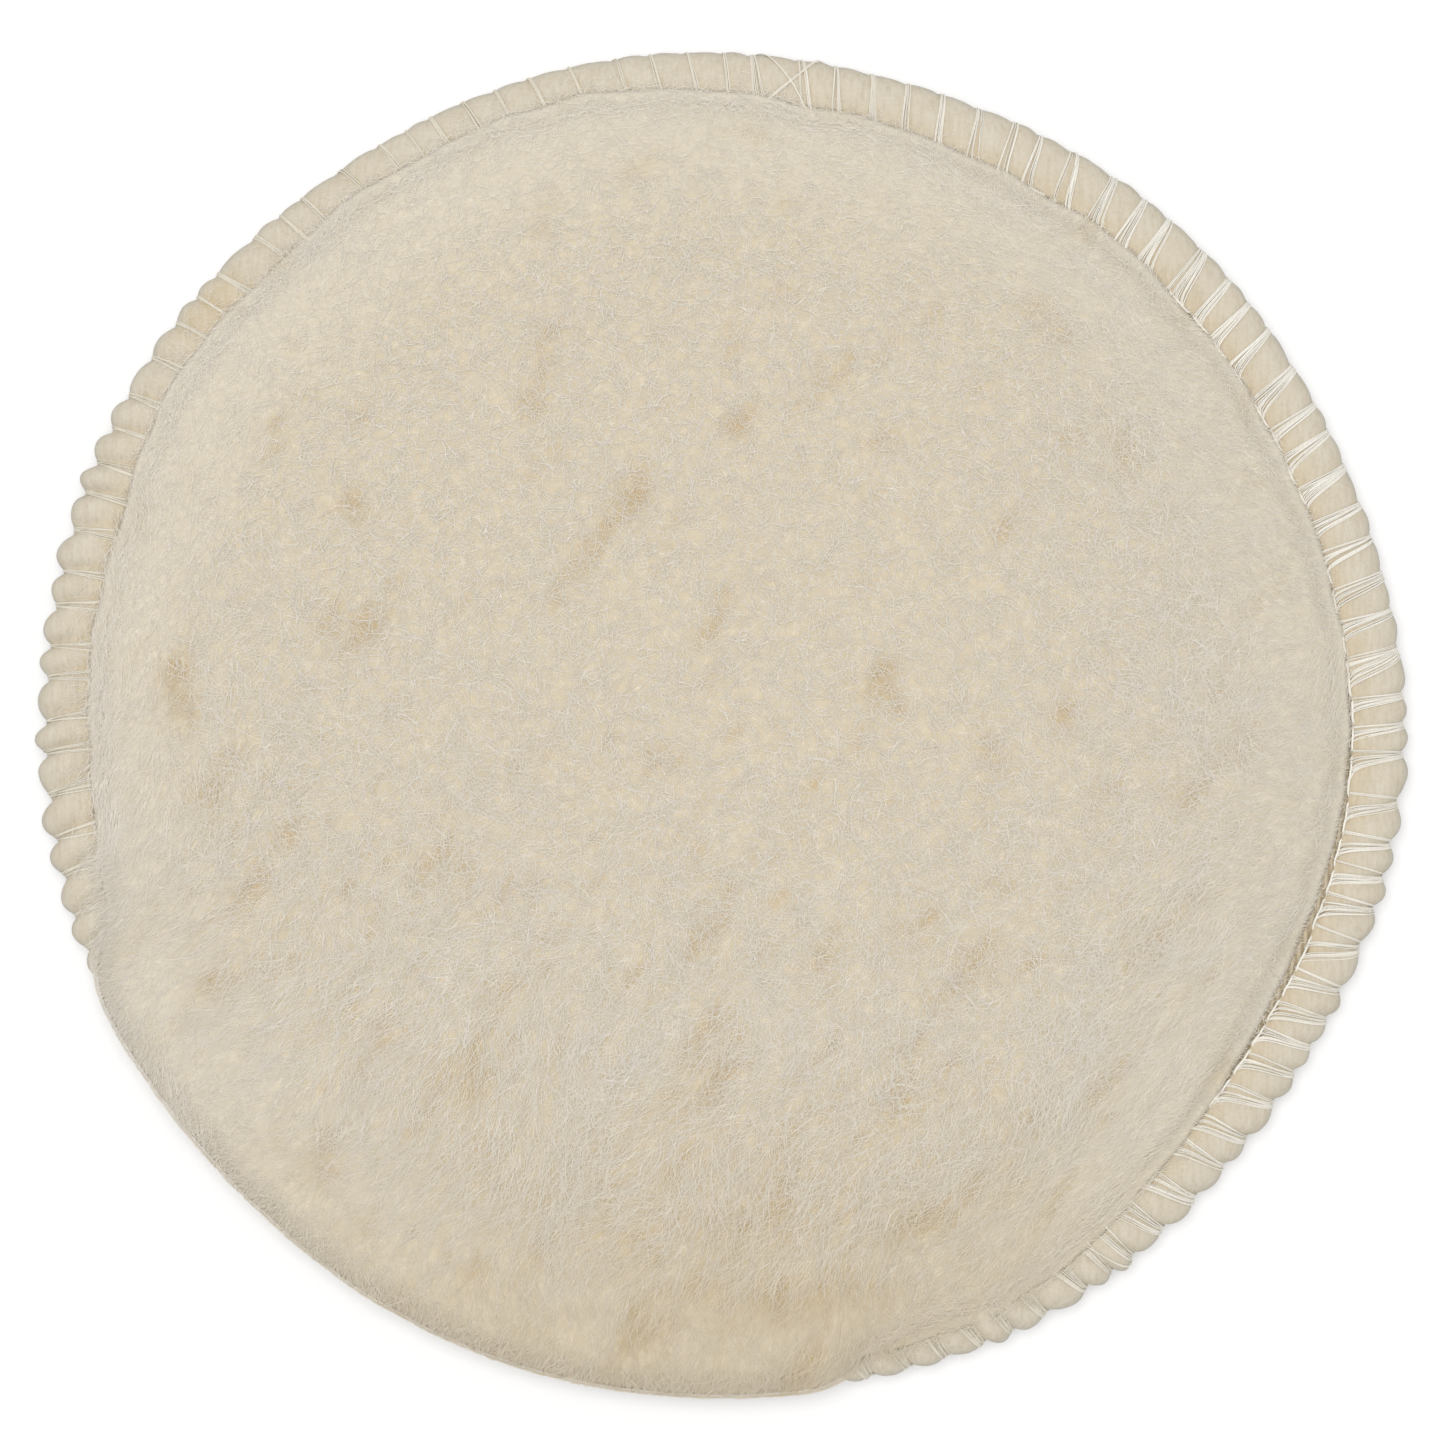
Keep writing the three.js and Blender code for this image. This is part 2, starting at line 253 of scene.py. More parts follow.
def mesh_object(name, co, triangles, uv=None, normals=None, **attributes):
    """A mesh from arrays of points and triangles, with named numbers on its points."""
    mesh = bpy.data.meshes.new(name)
    mesh.vertices.add(len(co))
    mesh.vertices.foreach_set("co", co.astype(np.float32).ravel())
    mesh.loops.add(triangles.size)
    mesh.loops.foreach_set("vertex_index", triangles.astype(np.int32).ravel())
    mesh.polygons.add(len(triangles))
    mesh.polygons.foreach_set("loop_start", np.arange(0, triangles.size, 3, dtype=np.int32))
    mesh.polygons.foreach_set("use_smooth", np.ones(len(triangles), bool))
    mesh.update(calc_edges=True)
    if normals is not None:
        mesh.normals_split_custom_set_from_vertices(normals.astype(np.float32))
    if uv is not None:
        layer = mesh.uv_layers.new(name="OFBake", do_init=False)
        layer.uv.foreach_set("vector", uv.astype(np.float32).ravel())
    for key, values in attributes.items():
        data = mesh.attributes.new(key, "FLOAT", "POINT").data
        data.foreach_set("value", values.astype(np.float32).ravel())
    obj = bpy.data.objects.new(name, mesh)
    bpy.context.scene.collection.objects.link(obj)
    return obj


def grid_triangles(rows, columns, close_rows=False):
    """Triangles of a grid of points stored row by row, with columns going round."""
    r = np.arange(rows if close_rows else rows - 1)
    r, c = np.meshgrid(r, np.arange(columns), indexing="ij")
    a = r * columns + c
    b = r * columns + (c + 1) % columns
    d = ((r + 1) % rows) * columns + c
    e = ((r + 1) % rows) * columns + (c + 1) % columns
    return np.concatenate([np.stack([a, b, e], -1), np.stack([a, e, d], -1)]).reshape(-1, 3)


def fan(start, columns, apex, reverse=False):
    """Triangles from the row of points that begins at start to the one point apex."""
    here = start + np.arange(columns)
    after = start + (np.arange(columns) + 1) % columns
    first, second = (after, here) if reverse else (here, after)
    return np.stack([first, second, np.full(columns, apex)], -1)


def tube_parts(paths, radii, reference, sides, under):
    """Points, triangles, map and normals of closed tubes along paths, an array (tubes, steps, 3).
    reference is any direction that isn't along a tube, for each tube or for each of its steps."""
    count, steps = paths.shape[:2]
    along = np.empty_like(paths)
    along[:, 1:-1] = paths[:, 2:] - paths[:, :-2]
    along[:, 0] = paths[:, 1] - paths[:, 0]
    along[:, -1] = paths[:, -1] - paths[:, -2]
    along = unit(along)
    side = unit(np.cross(along, reference[:, None, :] if reference.ndim == 2 else reference))
    up = np.cross(side, along)
    turn = TAU * np.arange(sides) / sides + math.pi / 2
    ring = (side[:, :, None, :] * np.cos(turn)[:, None] + up[:, :, None, :] * np.sin(turn)[:, None])
    co = paths[:, :, None, :] + ring * radii[:, :, None, None]
    if under is not None:
        ring = unit((1 - SHADE_FLATTEN) * ring + SHADE_FLATTEN * under[:, None, None, :])
    # One tube's triangles, with each corner as (point, place across, place along)
    faces, spots = [], []
    for j in range(steps - 1):
        for k in range(sides):
            k2 = (k + 1) % sides
            a, b, c, d = j * sides + k, j * sides + k2, (j + 1) * sides + k2, (j + 1) * sides + k
            faces += [(a, c, b), (a, d, c)]
            spots += [((k, j), (k + 1, j + 1), (k + 1, j)), ((k, j), (k, j + 1), (k + 1, j + 1))]
    for k in range(1, sides - 1):
        last = (steps - 1) * sides
        faces += [(0, k, k + 1), (last, last + k + 1, last + k)]
        spots += [((0, 0), (k, -0.4), (k + 1, 0)), ((0, steps - 1), (k + 1, steps - 1), (k, steps - 0.6))]
    faces = np.array(faces)
    spots = np.array(spots, float)
    triangles = faces[None] + (np.arange(count) * steps * sides)[:, None, None]
    # Each tube has its own cell of the map
    across = math.ceil(math.sqrt(count))
    cell = np.stack([np.arange(count) % across, np.arange(count) // across], -1)[:, None, None, :]
    inside = (spots + (0.6, 0.9)) / (sides + 1.2, steps + 0.8)
    uv = (cell + inside[None]) / across
    return co.reshape(-1, 3), triangles.reshape(-1, 3), uv.reshape(-1, 2), ring.reshape(-1, 3)


def tubes(name, paths, radii, reference, sides=3, under=None, **per_tube):
    """One piece of closed tubes. per_tube numbers are spread over each tube's points, and under
    is the way the surface below each tube faces, for tubes shaded as part of that surface."""
    co, triangles, uv, normals = tube_parts(paths, radii, reference, sides, under)
    numbers = {}
    for key, values in per_tube.items():
        repeats = sides if values.ndim > 1 else sides * paths.shape[1]
        numbers[key] = np.repeat(values.reshape(-1), repeats)
    return mesh_object(name, co, triangles, uv, None if under is None else normals, **numbers)


# ---------------------------------------------------------------- materials

def new_material(name, roughness, sheen=0.0):
    material = bpy.data.materials.new(name)
    material.use_nodes = True
    tree = material.node_tree
    shader = next(n for n in tree.nodes if n.type == "BSDF_PRINCIPLED")
    shader.inputs["Roughness"].default_value = roughness
    shader.inputs["Specular IOR Level"].default_value = 0.15
    shader.inputs["Sheen Weight"].default_value = sheen
    shader.inputs["Sheen Roughness"].default_value = 0.5
    return material, tree, shader


def node(tree, kind, **settings):
    """A new node, with settings for its sockets or its own properties."""
    made = tree.nodes.new(kind)
    for key, value in settings.items():
        if key in made.inputs:
            made.inputs[key].default_value = value
        else:
            setattr(made, key, value)
    return made


def colour_ramp(tree, fac, stops):
    made = tree.nodes.new("ShaderNodeValToRGB")
    elements = made.color_ramp.elements
    while len(elements) < len(stops):
        elements.new(0.5)
    for element, (place, colour) in zip(elements, stops):
        element.position = place
        element.color = (*colour, 1)
    tree.links.new(fac, made.inputs["Fac"])
    return made.outputs["Color"]


def mix(tree, blend, fac, a, b):
    """Colours a and b mixed. Each of fac, a and b is a socket or a constant."""
    made = node(tree, "ShaderNodeMix", data_type="RGBA", blend_type=blend)
    for socket, value in ((made.inputs["Factor"], fac), (made.inputs[6], a), (made.inputs[7], b)):
        if isinstance(value, bpy.types.NodeSocket):
            tree.links.new(value, socket)
        else:
            socket.default_value = value if not isinstance(value, tuple) else (*value, 1)
    return made.outputs[2]


def attribute(tree, name):
    return node(tree, "ShaderNodeAttribute", attribute_name=name).outputs["Fac"]


def place_noise(tree, scale, detail=3.0, stretch=(1, 1, 1)):
    """Noise by place on the object, in metres."""
    coordinates = node(tree, "ShaderNodeTexCoord").outputs["Object"]
    mapping = node(tree, "ShaderNodeMapping")
    mapping.inputs["Scale"].default_value = stretch
    tree.links.new(coordinates, mapping.inputs["Vector"])
    made = node(tree, "ShaderNodeTexNoise", Scale=scale, Detail=detail, Roughness=0.55)
    tree.links.new(mapping.outputs["Vector"], made.inputs["Vector"])
    return made.outputs["Fac"]


def bumped(tree, shader, height, strength, distance):
    bump = node(tree, "ShaderNodeBump", Strength=strength, Distance=distance)
    tree.links.new(height, bump.inputs["Height"])
    tree.links.new(bump.outputs["Normal"], shader.inputs["Normal"])


# Wool colours from ochre (0) to pale (1): the loose fibres, and the felt under them, darker and more
# ochre: the wool's own deeper colour with painted shade of the spaces between fibres
FIBRE_STOPS = [
    (0.0, (0.66, 0.54, 0.36)),
    (0.25, (0.734, 0.631, 0.469)),
    (0.5, (0.791, 0.719, 0.6)),
    (0.75, (0.836, 0.783, 0.698)),
    (1.0, (0.872, 0.838, 0.785)),
]
FELT_AND_GAP_SHADE_STOPS = [
    (0.0, (0.46, 0.35, 0.19)),
    (0.25, (0.533, 0.429, 0.279)),
    (0.5, (0.623, 0.546, 0.408)),
    (0.75, (0.673, 0.613, 0.494)),
    (1.0, (0.713, 0.664, 0.57)),
]


def wool_material(name, stops):
    """Cream wool whose tone attribute runs from ochre (0) to pale (1)."""
    material, tree, shader = new_material(name, 0.9)
    fine = place_noise(tree, 900, 2.0)
    tone = node(tree, "ShaderNodeMath", operation="MULTIPLY_ADD")
    tree.links.new(fine, tone.inputs[0])
    tone.inputs[1].default_value = 0.16
    tree.links.new(attribute(tree, "tone"), tone.inputs[2])
    shift = node(tree, "ShaderNodeMath", operation="SUBTRACT")
    tree.links.new(tone.outputs[0], shift.inputs[0])
    shift.inputs[1].default_value = 0.08
    colour = colour_ramp(tree, shift.outputs[0], stops)
    tree.links.new(colour, shader.inputs["Base Color"])
    return material


def cloth_material():
    """Brushed knit: a fine vertical rib with a short nap, with painted shade, warm and darker, towards
    the needle line and in the stitches' valleys, and greyer on the outer side.
    """
    material, tree, shader = new_material("brushed_knit", 0.9)
    rib = place_noise(tree, 1500, 2.0, stretch=(1.6, 0.22, 1.0))
    grain = place_noise(tree, 2600, 3.0)
    patch = place_noise(tree, 260, 3.0)
    both = mix(tree, "MIX", 0.45, rib, grain)
    pale = colour_ramp(tree, both, [(0.3, (0.53, 0.472, 0.375)), (0.5, (0.595, 0.543, 0.45)),
                                    (0.7, (0.64, 0.593, 0.515))])
    warm = mix(tree, "MULTIPLY", patch, pale, (0.97, 0.94, 0.87))
    # Painted shade, partly the wool's ochre: warm and darker where the rim runs under the wool and in the
    # valleys at the stitches; also the real browner soiled patch
    shaded_and_soiled = mix(tree, "MULTIPLY", attribute(tree, "tuck"), warm, (0.98, 0.91, 0.79))
    # Painted shade: the rim's outer side, turned away from the light, greyer and darker
    outer = mix(tree, "MULTIPLY", attribute(tree, "outer"), shaded_and_soiled, (0.88, 0.92, 0.98))
    holes = mix(tree, "MIX", attribute(tree, "hole"), outer, (0.22, 0.13, 0.07))
    tree.links.new(holes, shader.inputs["Base Color"])
    bumped(tree, shader, both, 0.35, 0.2 * MM)
    return material


def thread_material():
    """White spun thread, faintly grey where it is soiled."""
    material, tree, shader = new_material("spun_thread", 0.6)
    coordinates = node(tree, "ShaderNodeTexCoord").outputs["Object"]
    twist = node(tree, "ShaderNodeTexWave", Scale=2200.0, Distortion=1.5, Detail=1.0)
    tree.links.new(coordinates, twist.inputs["Vector"])
    colour = colour_ramp(tree, twist.outputs["Fac"], [
        (0.0, (0.74, 0.70, 0.62)), (0.5, (0.86, 0.84, 0.78)), (1.0, (0.92, 0.91, 0.87))])
    soil = mix(tree, "MULTIPLY", place_noise(tree, 300, 3.0), colour, (0.96, 0.94, 0.90))
    faint = mix(tree, "MULTIPLY", attribute(tree, "faint"), soil, (0.86, 0.83, 0.76))
    tree.links.new(faint, shader.inputs["Base Color"])
    return material


def foam_material():
    material, tree, shader = new_material("open_cell_foam", 0.95)
    cells = node(tree, "ShaderNodeTexVoronoi", Scale=1400.0)
    tree.links.new(node(tree, "ShaderNodeTexCoord").outputs["Object"], cells.inputs["Vector"])
    colour = colour_ramp(tree, cells.outputs["Distance"], [
        (0.0, (0.5, 0.47, 0.4)), (0.5, (0.82, 0.79, 0.7))])
    tree.links.new(colour, shader.inputs["Base Color"])
    bumped(tree, shader, cells.outputs["Distance"], 0.6, 0.3 * MM)
    return material


def knit_material():
    material, tree, shader = new_material("knit_ground", 0.9, 0.2)
    wales = node(tree, "ShaderNodeTexWave", Scale=420.0, Distortion=2.0, Detail=2.0)
    tree.links.new(node(tree, "ShaderNodeTexCoord").outputs["Object"], wales.inputs["Vector"])
    colour = colour_ramp(tree, wales.outputs["Fac"], [
        (0.0, (0.42, 0.34, 0.22)), (1.0, (0.68, 0.59, 0.43))])
    tree.links.new(colour, shader.inputs["Base Color"])
    bumped(tree, shader, wales.outputs["Fac"], 0.6, 0.2 * MM)
    return material


# ---------------------------------------------------------------- rim of turned-up cloth

rim_pinch = by_angle(RIM_PINCH)
wisps = by_angle(WISPS)
wool_lap = by_angle(WOOL_LAP)
hole_strength = by_angle(HOLES)
thread_faint = by_angle(FAINT)
rng = np.random.default_rng(SEED)
BULGE = 0.8 + 0.45 * rng.random(STITCHES)


def stitch_number(angle):
    """How many stitches lie between angle 0 and this angle. Valleys are at whole numbers."""
    wander = noise(np.cos(angle) * 9 + 40, np.sin(angle) * 9 + 40, 3)
    return angle / TAU * STITCHES + STITCH_WANDER * 2 * wander


ANGLE_GRID = np.linspace(-TAU / 8, TAU * 9 / 8, 9001)
NUMBER_GRID = stitch_number(ANGLE_GRID)


def stitch_angle(number):
    return np.interp(number, NUMBER_GRID, ANGLE_GRID)


def slant(turn):
    """How far, in stitches, the thread has swung back from its valley at a turn of the section."""
    return 0.5 * ramp(turn, 0.1, LIP_TURN)


def rim_section(angle, turn):
    """Inward distance, height and outward normal (radial, up) of the smooth rim."""
    half = (rim_radius(angle) - lip_radius(angle)) / 2
    middle, rise = (RIM_TOP + RIM_BOTTOM) / 2, (RIM_TOP - RIM_BOTTOM) / 2
    inner = turn > math.pi / 2
    radius = rim_radius(angle) - half * (1 - np.cos(turn))
    z = np.where(inner, TUCK_Z + (RIM_TOP - TUCK_Z) * np.sin(turn), middle + rise * np.sin(turn))
    tall = np.where(inner, RIM_TOP - TUCK_Z, rise)
    out, up = np.cos(turn) * tall, np.sin(turn) * half
    size = np.hypot(out, up)
    return radius, z, out / size, up / size


def tuck_under(angle):
    """How far the rim is drawn in where the wool hangs over it."""
    return WOOL_TUCK * ramp(lean_share(angle), 0.55, 0.78)


def rim_swell(angle, turn):
    """How far the cloth stands out between its stitches, and in at them."""
    number = stitch_number(angle) + slant(turn)
    whole = np.floor(number)
    part = number - whole
    bulge = BULGE[whole.astype(int) % STITCHES]
    outer = ramp(np.cos(turn), -0.55, 0.5)
    depth = rim_pinch(angle) * MM * (0.22 + 0.78 * outer)
    round_top = np.sin(math.pi * np.clip((part - 0.07) / 0.86, 0, 1)) ** 0.7
    wobble = layered(angle * 22, turn * 1.3, 11) * 0.10 * MM
    return depth * (bulge * round_top - 0.78) + wobble - tuck_under(angle)


def rim_place(angle, turn, lift=0.0):
    """A point on the rim's swollen surface, raised by lift."""
    radius, z, out, up = rim_section(angle, turn)
    rise = rim_swell(angle, turn) + lift
    r = radius + out * rise
    return np.stack([r * np.cos(angle), r * np.sin(angle), z + up * rise], -1)


def rim_normal(angle, turn):
    """Which way the smooth rim faces."""
    _, _, out, up = rim_section(angle, turn)
    return np.stack([out * np.cos(angle), out * np.sin(angle), up + 0 * angle], -1)


def rim_cloth(material):
    """The backing cloth: flat disc, turned-up rim and lip, as one closed sheet."""
    angles = np.arange(RIM_COLUMNS) / RIM_COLUMNS * TAU
    turns = np.linspace(LIP_TURN, -math.pi / 2, RIM_ROWS)
    a, t = np.meshgrid(angles, turns)
    outer = rim_place(a, t)
    inner_turns = np.linspace(-math.pi / 2, LIP_TURN, 16)
    ai, ti = np.meshgrid(angles, inner_turns)
    radius, z, out, up = rim_section(ai, ti)
    rise = 0.55 * np.minimum(rim_swell(ai, ti), 0) - CLOTH_THICKNESS
    r = radius + out * rise
    inner = np.stack([r * np.cos(ai), r * np.sin(ai), z + up * rise], -1)
    flat_shares = np.array([0.985, 0.95, 0.85, 0.6, 0.3, 0.06])
    lip = lip_radius(angles)

    def flat(height, shares):
        r = shares[:, None] * lip[None, :]
        x, y = r * np.cos(angles), r * np.sin(angles)
        return np.stack([x, y, np.full_like(x, height)], -1)

    rows = np.concatenate([outer, flat(CLOTH_Z, flat_shares), flat(FOAM_Z, flat_shares[::-1]), inner])
    tuck = np.zeros(rows.shape[:2])
    # Painted shade, partly the wool's ochre: darker and warmer towards the needle line, where the rim
    # runs under the wool
    tuck[:RIM_ROWS] = ramp(t, 1.5, LIP_TURN) * 0.75
    number = stitch_number(a) + slant(t)
    near_valley = np.abs(number - np.round(number))
    # Painted shade in the valleys where the stitches draw the cloth in
    tuck[:RIM_ROWS] += 0.45 * (1 - ramp(near_valley, 0.02, 0.16)) * ramp(t, 0.2, 1.6)
    # A real browner stain round SOILED_AT, carried in the same attribute as the painted shade
    soiled = np.exp(-((np.degrees(a) - SOILED_AT) / 4) ** 2) * ramp(t, 0.5, 1.2)
    tuck[:RIM_ROWS] += soiled * np.clip(0.8 + 0.6 * noise(a * 90, t * 4, 17), 0, 1.4)
    hole = np.zeros(rows.shape[:2])
    top_rows = slice(0, HOLE_ROWS)
    hole[top_rows] = (ramp(1 - near_valley[top_rows], 0.84, 0.95) * hole_strength(a[top_rows])
                      * ramp(t[top_rows], 2.45, 2.6))
    # Painted shade on the rim's outer side, which faces away from the light
    outer_shade = np.zeros(rows.shape[:2])
    outer_shade[:RIM_ROWS] = 1 - ramp(t, 0.2, 0.8)
    columns = RIM_COLUMNS
    triangles = grid_triangles(len(rows), columns, close_rows=True)
    # The two innermost flat rings aren't joined: the middle of each face is filled instead
    bottom = RIM_ROWS + len(flat_shares) - 1
    top = bottom + 1
    joins = triangles.reshape(2, len(rows), columns, 3)
    keep = np.delete(joins, bottom, axis=1).reshape(-1, 3)
    co = rows.reshape(-1, 3)
    centres = np.array([[0, 0, CLOTH_Z], [0, 0, FOAM_Z]])
    caps = [fan(bottom * columns, columns, len(co)),
            fan(top * columns, columns, len(co) + 1, reverse=True)]
    piece = mesh_object("backing_cloth_turned", np.concatenate([co, centres]),
                        np.concatenate([keep, *caps])[:, ::-1],
                        tuck=np.append(np.minimum(tuck, 1), [0, 0]), hole=np.append(hole, [0, 0]),
                        outer=np.append(outer_shade, [0, 0]))
    piece.data.materials.append(material)
    return piece


# ---------------------------------------------------------------- overlock threads

def strand_on_rim(number_in, number_out, turn_in, turn_out, bow, lift, steps=14):
    """Paths over the rim from the needle line to the outer edge, one row a strand."""
    t = np.linspace(0, 1, steps)[None, :]
    turn = turn_in[:, None] + (turn_out - turn_in)[:, None] * t
    share = t ** bow[:, None]
    number = number_in[:, None] + (number_out - number_in)[:, None] * share
    angle = stitch_angle(number)
    return rim_place(angle, turn, lift[:, None] * (1 - 0.6 * t)), rim_normal(angle, turn)


def strand_ends(degrees):
    """Where a stitch's strands meet the needle line, in stitches from its outer end."""
    if degrees < 58 or degrees > 336:
        wide = 0.0 if degrees < 58 else 0.25
        return [-0.72, -0.6, -0.48, -0.34, -0.16 + wide]
    if degrees < 90:
        return [-0.66, -0.6, -0.36]
    if degrees < 145:
        return [-0.52, -0.48]
    if degrees < 275:
        return [-0.44, -0.14]
    return [-0.95, -0.85, -0.62, -0.3]


def front_stitches(material):
    """The upper looper's fluffy strands: a fan of filaments from each outer valley."""
    steps = 12
    starts, ends, bows, lifts = [], [], [], []
    for i in range(STITCHES):
        degrees = math.degrees(float(stitch_angle(i))) % 360
        for k, end in enumerate(strand_ends(degrees)):
            end += rng.normal(0, 0.04)
            bow = rng.uniform(0.45, 0.75) if end < -0.3 else rng.uniform(0.8, 1.1)
            for _ in range(FILAMENTS):
                starts.append(i + end + rng.normal(0, 0.035))
                ends.append(i + rng.normal(0, 0.018) - 0.02 * (1.5 - k))
                bows.append(bow * rng.uniform(0.85, 1.15))
                lifts.append(FILAMENT_RADIUS * rng.uniform(0.6, 4))
    # The overlock's join crosses a few stitches, and its tail end lies loose over others
    for degrees, reach, skew in CROSSINGS:
        number = float(stitch_number(np.array(math.radians(degrees))))
        for _ in range(FILAMENTS + 2):
            starts.append(number + skew + rng.normal(0, 0.02))
            ends.append(number + reach + rng.normal(0, 0.02))
            bows.append(1.0)
            lifts.append(FILAMENT_RADIUS * rng.uniform(2.5, 4.5))
    starts, ends = np.array(starts), np.array(ends)
    turn_in = np.full(len(starts), LIP_TURN - 0.03)
    turn_out = np.full(len(starts), -0.35)
    paths, normals = strand_on_rim(
        starts, ends, turn_in, turn_out, np.array(bows), np.array(lifts), steps)
    radii = FILAMENT_RADIUS * rng.uniform(0.75, 1.25, len(paths))[:, None] * np.ones(steps)
    faint = thread_faint(stitch_angle(ends)) + 0 * starts
    piece = tubes("upper_looper_strands", paths, radii, normals, sides=4, faint=faint)
    piece.data.materials.append(material)
    return piece


def needle_dashes(material):
    """The needle thread's dashes along the inner edge of the rim."""
    paths, radii, refs = [], [], []
    steps = 9
    for i in range(STITCHES):
        t = np.linspace(0, 1, steps)
        number = i - 0.06 + t * 0.94
        angle = stitch_angle(number)
        turn = np.full(steps, LIP_TURN - 0.12 + rng.normal(0, 0.03))
        lift = STRAND_RADIUS * (0.4 + 1.2 * np.sin(math.pi * t))
        lift = lift - DASH_DIVE * (t < 0.01) - DASH_DIVE * (t > 0.99)
        paths.append(rim_place(angle, turn, lift))
        radii.append(np.full(steps, STRAND_RADIUS * 1.05))
        refs.append(rim_normal(angle, turn))
    piece = tubes("needle_thread_dashes", np.array(paths), np.array(radii), np.array(refs), sides=6)
    piece.data.materials.append(material)
    return piece


def back_stitches(material):
    """The lower looper's strands: the same fan on the back of the rim."""
    paths, radii, refs = [], [], []
    for i in range(STITCHES):
        for end in (-0.7, 0.1):
            number_in = np.array([i + end + rng.normal(0, 0.04)])
            number_out = np.array([i + rng.normal(0, 0.03)])
            bow = np.array([rng.uniform(0.7, 1.0)])
            path, normal = strand_on_rim(
                number_in, number_out, np.array([-math.pi / 2 + 0.02]), np.array([-0.3]),
                bow, np.array([STRAND_RADIUS * 0.9]))
            lip = lip_radius(stitch_angle(np.array(i + end))) + 0.6 * MM
            angle = stitch_angle(np.array(i + end * 1.25))
            start = np.array([lip * np.cos(angle), lip * np.sin(angle), CLOTH_Z - STRAND_RADIUS])
            paths.append(np.vstack([start, path[0]]))
            radii.append(np.full(path.shape[1] + 1, STRAND_RADIUS * rng.uniform(0.8, 1.1)))
            refs.append(np.vstack([[0, 0, -1.0], normal[0]]))
    piece = tubes("lower_looper_strands", np.array(paths), np.array(radii), np.array(refs), sides=6)
    piece.data.materials.append(material)
    return piece


# ---------------------------------------------------------------- wool

FACE_SHARE = 0.62  # the flat face's part of the section's shares, the shoulder's being the rest
EDGE_POWER = 2.2  # how squarely the shoulder drops where the wool doesn't hang over
SKIRT = 3 * MM  # how far past the brow fibres may root or hang
BROW_RISE = 0.38 * MM  # how far the wool's brow stands over what is under it


def rim_height(angle, radius):
    """Height of the rim's upper surface at a radius, or far below outside the rim."""
    half = (rim_radius(angle) - lip_radius(angle)) / 2
    x = (radius - rim_radius(angle) + half) / half
    across = np.sqrt(np.clip(1 - x**2, 0, 1))
    middle = (RIM_TOP + RIM_BOTTOM) / 2
    z = np.where(x < 0, TUCK_Z + (RIM_TOP - TUCK_Z) * across, middle + (RIM_TOP - middle) * across)
    return np.where(np.abs(x) <= 1, z, -1.0)


def edge_radius(angle):
    """Radius of the wool's brow, which covers most of the needle line."""
    wander = LAP_WANDER * noise(np.cos(angle) * 11 + 60, np.sin(angle) * 11 + 60, 8)
    brow = brow_radius(angle) - 0.7 * MM
    brow = brow + (rim_radius(angle) - 0.1 * MM - brow) * ramp(lean_share(angle), 0.5, 0.75)
    return np.maximum(brow, lip_radius(angle) + (wool_lap(angle) + wander) * MM)


def lean_share(angle):
    """How far the wool hangs out over the rim, from 0 (not at all) to about 1."""
    lip = lip_radius(angle)
    return np.clip((brow_radius(angle) - lip) / (rim_radius(angle) - lip), 0, 1.2)


def brow_height(angle):
    """Height of the wool's brow: just over the rim, or higher where the wool hangs past it."""
    hang = ramp(lean_share(angle), 0.3, 0.75)
    on_rim = np.maximum(rim_height(angle, edge_radius(angle)), PILE_Z + 0.4 * MM) + BROW_RISE
    return on_rim + (BROW_Z - on_rim) * hang


def pile_profile(angle, share):
    """Radius and height of the wool's outer form. share is 0 on the axis, FACE_SHARE where the
    shoulder starts and 1 at the brow. Past 1 it is the way, in skirts, that wool would hang."""
    face_edge = root_radius(angle) - PILE_SHOULDER
    wide = edge_radius(angle) - face_edge
    brow_z = brow_height(angle)
    hang = ramp(lean_share(angle), 0.3, 0.75)
    turn = math.pi / 2 * (1 - np.clip((share - FACE_SHARE) / (1 - FACE_SHARE), 0, 1))
    way = np.cos(turn)
    drop = (1 - hang) * (1 - way**EDGE_POWER) + hang * np.sin(turn)
    past = np.maximum(share - 1, 0) * SKIRT
    slope = math.radians(20) + math.radians(65) * hang
    on_face = share < FACE_SHARE
    radius = np.where(on_face, face_edge * share / FACE_SHARE, face_edge + wide * way)
    radius = radius + past * np.cos(slope)
    z = np.where(on_face, PILE_TOP, brow_z + (PILE_TOP - brow_z) * drop) - past * np.sin(slope)
    rest = rim_height(angle, radius) + 0.1 * MM
    return radius, np.where(share > 1, np.maximum(z, rest), z)


def pile_surface(angle, share):
    """Point and normal of the wool's outer form."""
    radius, z = pile_profile(angle, share)
    step = 0.004
    near_r, near_z = pile_profile(angle, share - step)
    far_r, far_z = pile_profile(angle, share + step)
    out, up = near_z - far_z, far_r - near_r
    c, d = np.cos(angle), np.sin(angle)
    return np.stack([radius * c, radius * d, z], -1), unit(np.stack([out * c, out * d, up], -1))


# The wool's form unrolled into a flat disc: distance along the section from the axis, by share
SHARES = np.concatenate([np.linspace(0, 1, 300), [2.0]])
SECTIONS = pile_surface(*np.meshgrid(np.linspace(0, TAU, 72, endpoint=False), SHARES))[0]
REACH = np.append(0, np.cumsum(np.linalg.norm(np.diff(SECTIONS, axis=0), axis=-1).mean(1)))
BROW_REACH, SKIRT_REACH = REACH[-2], REACH[-1]


